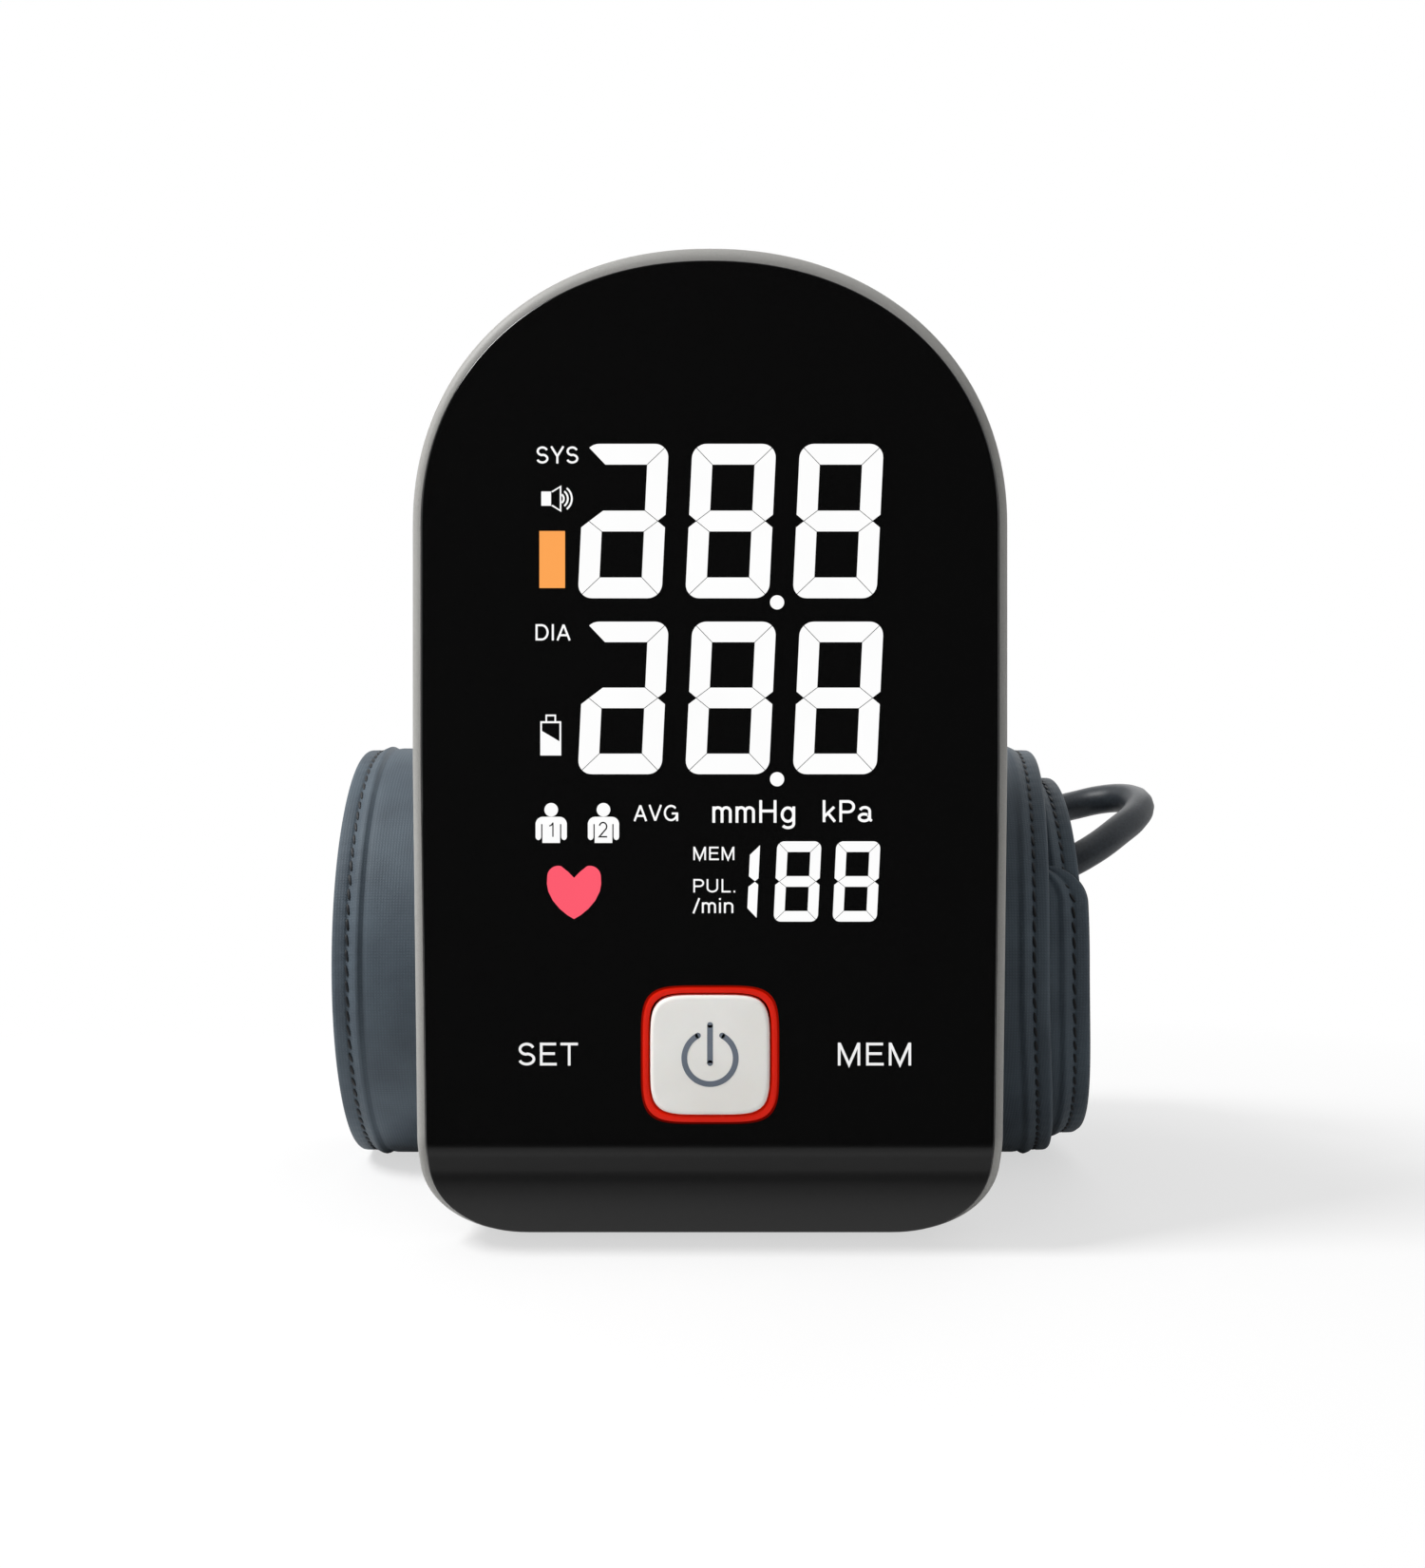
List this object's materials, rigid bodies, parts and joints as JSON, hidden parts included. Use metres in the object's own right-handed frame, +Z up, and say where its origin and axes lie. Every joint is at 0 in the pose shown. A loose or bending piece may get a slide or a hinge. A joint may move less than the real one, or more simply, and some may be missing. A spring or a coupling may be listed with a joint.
{
  "type": "upper arm blood pressure monitor",
  "caption": "Arch-topped upper arm blood pressure monitor with gloss display panel, lit power button, air pump and batteries, with a rolled cuff and hose behind it.",
  "frame": {"origin": "middle of the underside of the rubber pad that the monitor stands on", "axes": "+Z up, the display faces -Y, +X to the right as seen from the front; the cuff's roll lies along X behind the monitor"},
  "size_m": [0.1625, 0.1351, 0.1633],
  "materials": {
    "gloss_panel": "gloss",
    "silver_rim": "satin paint",
    "dark_abs": "fine texture",
    "white_abs": "semi-gloss",
    "red_lens": "satin",
    "rubber": "matt",
    "steel": "bright",
    "brass": "turned",
    "circuit_board": "solder resist",
    "soft_tube": "satin",
    "cell": "printed film",
    "cuff_cloth": "woven nylon",
    "bladder_film": "smooth",
    "hose_rubber": "satin"
  },
  "bodies": {
    "monitor": {"air_manifold": "white_abs", "air_socket": "steel", "air_tube_pump": "soft_tube", "air_tube_sensor": "soft_tube", "air_tube_socket": "soft_tube", "base_pad": "rubber", "battery_cell_1": "cell", "battery_cell_2": "cell", "battery_cell_3": "cell", "battery_cell_4": "cell", "battery_contacts_lower": "steel", "battery_contacts_upper": "steel", "battery_spring_1": "steel", "battery_spring_2": "steel", "battery_spring_3": "steel", "battery_spring_4": "steel", "button_light_ring": "red_lens", "charging_jack": "steel", "deflation_valve": "white_abs", "display_light_guide": "white_abs", "front_housing": "silver_rim", "front_panel": "gloss_panel", "housing_screw_1": "steel", "housing_screw_2": "steel", "housing_screw_3": "steel", "housing_screw_4": "steel", "led_board": "circuit_board", "main_board": "circuit_board", "pressure_sensor": "dark_abs", "pump_head": "dark_abs", "pump_motor": "steel", "rear_housing": "dark_abs", "speaker": "dark_abs", "tact_switch": "steel", "touch_spring_left": "steel", "touch_spring_right": "steel"},
    "button": {"power_button": "white_abs", "tact_plunger": "dark_abs"},
    "lid": {"battery_cover": "dark_abs"},
    "rotor": {"pump_rotor": "brass"},
    "valve_pin": {"valve_plunger": "brass"},
    "cuff": {"cuff_bladder": "bladder_film", "cuff_closure_flap": "cuff_cloth", "cuff_hook_patch": "rubber", "cuff_hose_port": "hose_rubber", "cuff_inner_cloth": "cuff_cloth", "cuff_loop_patch": "cuff_cloth", "cuff_outer_cloth": "cuff_cloth", "hose_hank": "hose_rubber", "hose_plug": "dark_abs", "hose_tie": "rubber", "hose_tube": "hose_rubber"}
  },
  "joints": [
    {"name": "button_press", "type": "slide", "parent": "monitor", "child": "button", "axis": [0, 1, 0], "range_m": [0, 0.0006], "stiffness_N_per_m": 1500},
    {"name": "lid_hinge", "type": "hinge", "parent": "monitor", "child": "lid", "pos_m": [0, 0.0181, 0.0877], "axis": [-1, 0, 0], "range_deg": [0, 80]},
    {"name": "pump_spin", "type": "hinge", "parent": "monitor", "child": "rotor", "pos_m": [-0.002, -0.001, 0.064], "axis": [1, 0, 0], "continuous": true},
    {"name": "valve_slide", "type": "slide", "parent": "monitor", "child": "valve_pin", "axis": [0, -1, 0], "range_m": [0, 0.0008], "stiffness_N_per_m": 400},
    {"name": "cuff_away", "type": "slide", "parent": "monitor", "child": "cuff", "axis": [0, 1, 0], "range_m": [0, 0.1]}
  ]
}
